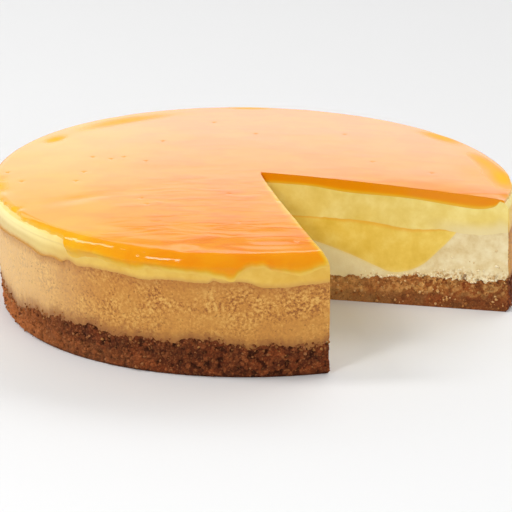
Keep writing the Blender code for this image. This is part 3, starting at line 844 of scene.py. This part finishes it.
class Look:
    """The nodes of a material or of the studio, with short ways to make them.

    An input is a number, a screen colour, another node's output or a name: X, Y or Z for a place
    on that axis, and any other for a number that the mesh holds at each point.
    """

    def __init__(self, tree, space="Object"):
        self.tree = tree
        self.where = self.node("TexCoord").outputs[space]

    def named(self, name):
        if name in ("X", "Y", "Z"):
            return self.node("SeparateXYZ", Vector=self.where).outputs[name]
        made = self.node("Attribute")
        made.attribute_name = name
        return made.outputs["Fac"]

    def give(self, socket, value):
        if isinstance(value, str):
            value = self.named(value)
        if isinstance(value, bpy.types.NodeSocket):
            self.tree.links.new(value, socket)
        elif socket.type == "RGBA":
            socket.default_value = (*colour_numbers(value), 1.0)
        else:
            socket.default_value = value

    def fill(self, node, inputs):
        for name, value in inputs.items():
            self.give(node.inputs[name.replace("_", " ")], value)
        return node

    def node(self, kind, **inputs):
        return self.fill(self.tree.nodes.new("ShaderNode" + kind), inputs)

    def math(self, operation, first, second):
        made = self.node("Math")
        made.operation = operation
        self.give(made.inputs[0], first)
        self.give(made.inputs[1], second)
        return made.outputs[0]

    def times(self, first, second):
        return self.math("MULTIPLY", first, second)

    def plus(self, first, second):
        return self.math("ADD", first, second)

    def step(self, value, low, high, to_low=0.0, to_high=1.0):
        """A smooth step of a value between two numbers."""
        made = self.node("MapRange", Value=value, From_Min=low, From_Max=high, To_Min=to_low,
                         To_Max=to_high)
        made.interpolation_type = "SMOOTHSTEP"
        return made.outputs["Result"]

    def ramp(self, value, stops):
        """Colours along a value, from (place, colour) stops."""
        made = self.node("ValToRGB", Fac=value)
        elements = made.color_ramp.elements
        while len(elements) < len(stops):
            elements.new(0.5)
        for element, (at, tone) in zip(elements, stops):
            element.position = at
            element.color = (*colour_numbers(tone), 1.0)
        return made.outputs["Color"]

    def mix(self, share, first, second, blend="MIX"):
        made = self.node("Mix")
        made.data_type = "RGBA"
        made.blend_type = blend
        self.give(made.inputs[0], share)
        self.give(made.inputs[6], first)
        self.give(made.inputs[7], second)
        return made.outputs[2]

    def tinted(self, colour, *tints):
        """A colour with others mixed into it one after the other, from (share, colour) pairs."""
        for share, tint in tints:
            colour = self.mix(share, colour, tint)
        return colour

    def set(self, **inputs):
        self.fill(self.tree.nodes["Principled BSDF"], inputs)

    def noise(self, size, detail=2.0, rough=0.5):
        """Noise with lumps of that size in millimetres."""
        return self.node("TexNoise", Vector=self.where, Scale=1 / (size * MM), Detail=detail,
                         Roughness=rough).outputs["Fac"]

    def streaks(self, sizes):
        """Noise that is drawn out along X and Y by those sizes."""
        turned = self.node("VectorMath", Vector=self.where)
        turned.operation = "DIVIDE"
        turned.inputs[1].default_value = (*sizes, 1.0)
        return self.node("TexNoise", Vector=turned.outputs[0], Scale=1.0, Detail=2.0,
                         Distortion=0.9).outputs["Fac"]

    def bump(self, height, depth, strength):
        made = self.node("Bump", Height=height, Distance=depth, Strength=strength)
        self.set(Normal=made.outputs["Normal"])

    def finish(self, colour, fine, rough, depth, strength=0.6, **more):
        """The colour, and a bump in millimetres and a roughness from one fine noise."""
        self.set(Base_Color=colour, Roughness=self.step(fine, 0.3, 0.7, *rough), **more)
        self.bump(fine, depth * MM, strength)


def crumb_colours(look, tone_share, fine, on_wall_share):
    """Baked biscuit: reddish brown on the wall, and tan where the knife went through."""
    speck = look.plus(look.times("tone", tone_share), look.times(fine, 1 - tone_share))
    wall_tone = look.ramp(speck, ((0.22, (84, 38, 18)), (0.42, (112, 56, 27)),
                                  (0.60, (132, 70, 36)), (0.80, (158, 94, 54))))
    cut_tone = look.ramp(speck, ((0.22, (150, 84, 38)), (0.40, (196, 134, 70)),
                                 (0.58, (220, 166, 98)), (0.78, (246, 212, 150))))
    return look.mix(on_wall_share, cut_tone, wall_tone)


def crust_material(look):
    """Biscuit crumbs, with painted shade in pits and cracks, and toasted near the foot where cut."""
    skin = look.step("skin", 0.5, 0.95)
    inside = look.step(skin, 1.0, 0.0)
    uneven = look.plus("level", look.times(look.noise(5), 0.4))
    toasted = look.step(uneven, 0.78, 0.56, 0.0, 0.9)
    dark = look.mix(look.noise(2.4, 3.0), (98, 51, 24), (144, 82, 42))
    crack = look.times(look.step(look.noise(1.5, 3.0, 0.7), 0.5, 0.41),
                       look.step("level", 0.6, 0.95, 0.1, 0.85))
    # lit and shaded are painted light near the tip of the cuts and painted shade at their right end
    lit = look.step("X", 0.086, 0.036, 0.0, 0.36)
    shaded = look.step("X", 0.08, 0.105, 0.0, 0.3)
    red = look.step(look.noise(9, 1.0), 0.42, 0.72, 0.0, 0.35)
    # Painted shade in the pits and in the cracks between crumbs, deeper on the wall than on the cuts
    pit = look.times(look.step("pit", 0.1, 0.9, 0.0, 0.8), look.step(skin, 0.0, 1.0, 0.45, 1.0))
    upper = look.times(look.step("level", 0.45, 0.65, 0.0, 0.3), look.step("X", 0.0, -0.03))
    # lower is painted light on the wall's lower part towards the left, where the light falls
    lower = look.times(look.step("level", 0.6, 0.4, 0.0, 0.2), look.step("X", -0.03, -0.08))
    # Painted shade along the foot of the wall, next to the floor
    foot = look.step("level", 0.10, 0.0, 0.0, 0.5)
    grain = look.noise(0.9, 3.0, 0.7)
    colour = look.tinted(
        crumb_colours(look, 0.25, look.noise(1.2, 4.0, 0.75), skin),
        (look.times(toasted, inside), dark),
        (look.times(crack, inside), (92, 46, 20)),
        (look.times(lit, inside), (236, 184, 112)),
        (look.times(shaded, inside), (88, 46, 24)),
        (red, (160, 76, 34)),
        (pit, (46, 16, 6)),
        (look.times(upper, skin), (64, 30, 12)),
        (lower, (190, 118, 64)),
        # Painted light on the far left, where the light falls
        (look.step("X", -0.072, -0.122, 0.0, 0.66), (206, 122, 62)),
        (look.times(foot, skin), (50, 22, 8)),
        (look.step(grain, 0.46, 0.34, 0.0, 0.5), (52, 24, 12)),
        (look.step(grain, 0.54, 0.68, 0.0, 0.3), (206, 140, 84)),
    )
    look.finish(colour, look.noise(0.6, 2.0, 0.6), (0.75, 0.95), 0.2, 0.7, Specular_IOR_Level=0.15)


def crumb_material(look):
    """Single crumbs, in the crumb base's colours."""
    on_wall_share = look.step("cut", 0.2, 0.8, 0.9, 0.3)
    colour = crumb_colours(look, 0.5, look.noise(0.9), on_wall_share)
    look.finish(colour, look.noise(0.4), (0.7, 0.9), 0.15, 0.7, Specular_IOR_Level=0.15)


def flake_material(look):
    """Bits of the browned wall."""
    colour = look.ramp("tone", ((0, (120, 70, 34)), (0.5, (152, 96, 48)), (1, (172, 118, 64))))
    look.finish(colour, look.noise(0.4), (0.55, 0.8), 0.1, Specular_IOR_Level=0.2)


def pale_crumb_material(look):
    """Bits of the ivory inside."""
    colour = look.ramp("tone", ((0, (206, 168, 112)), (0.5, (232, 210, 160)), (1, (248, 236, 204))))
    look.finish(colour, look.noise(0.4), (0.5, 0.8), 0.1)


def baked_material(look):
    """Ivory and finely pitted inside, browned and speckled outside, with painted light and shade."""
    speck = look.noise(1.25, 2.0, 0.6)
    patchy = look.step(look.noise(16), 0.4, 0.62, 0.35, 1.0)
    lively = look.times(look.times(look.plus(speck, -0.5), patchy), 1.4)
    cloud = look.times(look.noise(11.0, 3.0), 0.3)
    ragged = look.times(look.noise(2.2), 0.14)
    over_seam = look.math("SUBTRACT", "level", ragged)
    seam_left = look.times(look.step(over_seam, 0.3, -0.05, 0.0, 0.35), look.step("X", -0.03, -0.07))
    brown = look.tinted(
        look.ramp(look.plus(look.plus(lively, 0.35), cloud), (
            (0.30, (146, 85, 34)), (0.42, (188, 124, 53)),
            (0.52, (202, 140, 62)), (0.70, (224, 174, 93)))),
        (look.step("level", 0.6, 0.3, 0.0, 0.3), (208, 150, 70)),
        # Paler cream on the far left: the wall's own paler colour there, raised by painted light from
        # the left
        (look.step("X", -0.06, -0.11, 0.0, 0.62), (244, 208, 146)),
        (seam_left, (160, 98, 46)),
        (look.step(over_seam, 0.15, -0.08, 0.0, 0.8), (146, 90, 44)),
        (look.step(look.plus("level", ragged), 0.88, 1.06, 0.0, 0.5), (172, 108, 46)),
        (look.step(look.noise(1.0, 1.0), 0.33, 0.26, 0.0, 0.55), (120, 66, 28)),
    )
    bits = look.ramp(look.noise(1.5, 2.0, 0.6), (
        (0.32, (160, 108, 58)), (0.44, (226, 198, 142)), (0.60, (250, 240, 208))))
    ivory = look.tinted(
        look.ramp(look.noise(5, 4.0, 0.6), (
            (0.3, (222, 196, 140)), (0.5, (234, 214, 164)), (0.7, (244, 230, 190)))),
        (look.step("crumbly", 0.1, 0.9, 0.0, 0.85), bits),
        # Painted light on the cuts towards the tip, where the cake's other part shades them
        (look.step("X", 0.08, 0.03, 0.0, 0.7), (252, 238, 182)),
        # Painted shade in the torn pits
        (look.step("pit", 0.2, 0.9, 0.0, 0.8), (120, 76, 36)),
        (look.step("stain", 0.0, 1.0, 0.0, 0.4), (240, 208, 118)),
    )
    skin = look.step("skin", 0.86, 0.97)
    look.set(Base_Color=look.mix(skin, ivory, brown), Roughness=look.step(speck, 0.3, 0.7, 0.5, 0.75),
             Specular_IOR_Level=0.35)
    look.bump(look.noise(0.8, 3.0, 0.65), 0.2 * MM, 0.65)


def curd_material(look):
    """Golden, deeper along its upper edge and paler where it meets the baked layer."""
    colour = look.tinted(
        look.ramp(look.noise(7, 4.0, 0.6), (
            (0.3, (232, 192, 68)), (0.5, (240, 203, 84)), (0.7, (247, 216, 106)))),
        (look.step("level", 0.88, 1.0, 0.0, 0.6), (238, 166, 24)),
        (look.step("stain", 0.0, 1.0, 0.0, 0.3), (244, 218, 130)),
    )
    look.finish(colour, look.noise(1.2), (0.32, 0.48), 0.06)


def yellow_material(look):
    """Pale yellow inside, and a deeper rind on the wall that is browned at its foot."""
    cloud = look.noise(11, 4.0, 0.6)
    colour = look.ramp(cloud, (
        (0.3, (230, 199, 93)), (0.5, (238, 211, 113)), (0.7, (247, 226, 139))))
    paler = look.times(look.step("X", 0.074, 0.098), look.step("level", 0.6, 0.05, 0.0, 0.85))
    # Painted light on the far left: a painted highlight on the rind's upper lip, and painted shade
    # below it
    painted_lip_light_and_shade = look.mix(look.step("level", 0.5, 0.9), (222, 196, 124), (250, 232, 160))
    foot = look.plus("level", look.times(look.noise(1.8, 3.0), 0.16))
    rind = look.tinted(
        look.mix(look.step(cloud, 0.3, 0.7), (224, 174, 60), (236, 196, 88)),
        (look.step("X", -0.06, -0.108, 0.0, 0.9), painted_lip_light_and_shade),
        (look.step(foot, 0.04, 0.42, 0.8, 0.0), (204, 148, 70)),
    )
    skin = look.step("skin", 0.86, 0.97)
    colour = look.tinted(colour, (paler, (236, 218, 164)), (skin, rind))
    look.finish(colour, look.noise(1.1), (0.38, 0.55), 0.06)


def glaze_material(look):
    """Clear jelly: deep orange where it is thick, amber where it thins out."""
    on_top = look.step("level", 0.97, 1.0)
    cloud = look.noise(18, 3.0)
    warm = look.plus(look.step(cloud, 0.35, 0.65, 0.0, 0.2), look.step("X", -0.02, -0.10, 0.0, 0.5))
    front = look.times(look.step("Y", 0.01, -0.05, 0.35, 1.0), look.step("X", -0.09, -0.02, 0.2, 1.0))
    streaks = look.times(look.streaks(STREAK), on_top)
    body = look.tinted(
        look.ramp("deep", ((0.0, (234, 198, 96)), (0.28, (234, 184, 50)), (0.6, (236, 162, 12)),
                           (1.0, (235, 140, 3)))),
        (warm, look.mix(on_top, (236, 152, 10), (240, 178, 26))),
        # Painted reflection: the streaks' darker orange stands for the weaker reflection on their
        # ripples, which are also a real bump
        (look.times(look.step(streaks, 0.44, 0.66, 0.0, 0.5), front), (232, 116, 10)),
        ("dry", (240, 182, 34)),
    )
    rough = look.plus(look.step(cloud, 0.3, 0.7, 0.05, 0.1), look.times("dry", 0.8))
    look.set(Base_Color=body, Roughness=rough, IOR=JELLY_IOR)
    faded = look.times(look.times(streaks, front), look.step("Y", *STREAK_END))
    look.bump(faded, STREAK_DEPTH, 1.0)


def floor_material(look):
    look.set(Base_Color=FLOOR_COLOUR, Roughness=0.9, Specular_IOR_Level=0.0)


def paint(made, name, material):
    """Gives an object its material, which one of the functions above makes."""
    own = bpy.data.materials.new(name)
    own.use_nodes = True
    material(Look(own.node_tree))
    made.data.materials.append(own)


def floor():
    """A wide plain floor, which isn't part of the cake."""
    bm = bmesh.new()
    bmesh.ops.create_grid(bm, x_segments=1, y_segments=1, size=FLOOR_REACH)
    mesh = bpy.data.meshes.new("floor")
    bm.to_mesh(mesh)
    bm.free()
    made = bpy.data.objects.new("floor", mesh)
    made.location.z = -FLOOR_DROP
    paint(made, "floor", floor_material)
    bpy.context.scene.collection.objects.link(made)


def dome():
    """A white studio all round, with bright panels behind the cake and a strip of light."""
    world = bpy.data.worlds.new("studio")
    world.use_nodes = True
    studio = Look(world.node_tree, "Generated")
    room = studio.mix(studio.step("Y", *BACK_FROM), studio.ramp("Z", FRONT_PANEL),
                      studio.ramp("Z", BACK_PANEL))
    low, high, soft, strip = STRIP
    for axis, start, end in (("Z", low - soft, low), ("Z", high + soft, high),
                             ("X", *STRIP_FROM), ("Y", *STRIP_BEHIND)):
        strip = studio.times(studio.step(axis, start, end), strip)
    studio.fill(studio.tree.nodes["Background"],
                {"Color": studio.mix(1.0, room, strip, "ADD"), "Strength": DOME_STRENGTH})
    bpy.context.scene.world = world


def softbox(name, degrees, up, away, size, power):
    """A soft light that faces the cake from a bearing and a height, both in degrees."""
    light = bpy.data.lights.new(name, "AREA")
    light.shape = "RECTANGLE"
    light.size, light.size_y = size
    light.energy = power
    made = bpy.data.objects.new(name, light)
    bearing, climb = math.radians(degrees), math.radians(up)
    out = Vector((math.cos(bearing) * math.cos(climb), math.sin(bearing) * math.cos(climb),
                  math.sin(climb)))
    made.location = out * away
    made.rotation_euler = out.to_track_quat("Z", "Y").to_euler()
    bpy.context.scene.collection.objects.link(made)
    return made


def camera():
    """The photograph's view: from a little above, along +Y."""
    lens = bpy.data.cameras.new("camera")
    lens.lens = CAMERA_LENS
    lens.sensor_width = CAMERA_SENSOR
    lens.clip_start = CAMERA_CLIP
    tilt = Euler((math.pi / 2 - CAMERA_RISE, 0.0, 0.0)).to_matrix()
    turned = (tilt @ Matrix.Rotation(CAMERA_ROLL, 3, "Z")).to_4x4()
    made = bpy.data.objects.new("camera", lens)
    made.matrix_world = Matrix.Translation(
        Vector(CAMERA_TARGET) + CAMERA_DISTANCE * tilt.col[2]) @ turned
    bpy.context.scene.collection.objects.link(made)
    bpy.context.scene.camera = made


def dress():
    """Every piece of the cake with its material."""
    layers = (
        ("crust", "crumb_base", crust_section, crust_relief, CRUST_ROWS, False, crust_material),
        ("pale_cake", "baked_cheesecake", baked_section, baked_relief, BAKED_ROWS, False,
         baked_material),
        ("curd", "mango_curd", curd_section, curd_relief, CURD_ROWS, False, curd_material),
        ("yellow_cake", "mango_cheesecake", yellow_section, smooth_relief, YELLOW_ROWS, True,
         yellow_material),
        ("glaze", "mango_glaze", glaze_section, glaze_depth, GLAZE_ROWS, True, glaze_material),
    )
    for name, node, section, relief, rows, rim, material in layers:
        paint(build_layer(name, node, section, relief, rows, rim), node, material)
    paint(crust_crumbs(), "crust_crumbs", crumb_material)
    paint(pale_crumbs(), "pale_crumbs", pale_crumb_material)
    paint(wall_flakes(), "wall_flakes", flake_material)


bpy.context.scene.view_settings.view_transform = "Standard"
bpy.context.scene.view_settings.look = "None"
camera()
floor()
dome()
softbox("key", *KEY_LIGHT)
softbox("window", *WINDOW_LIGHT)
softbox("fill", *FILL_LIGHT).visible_glossy = False
dress()
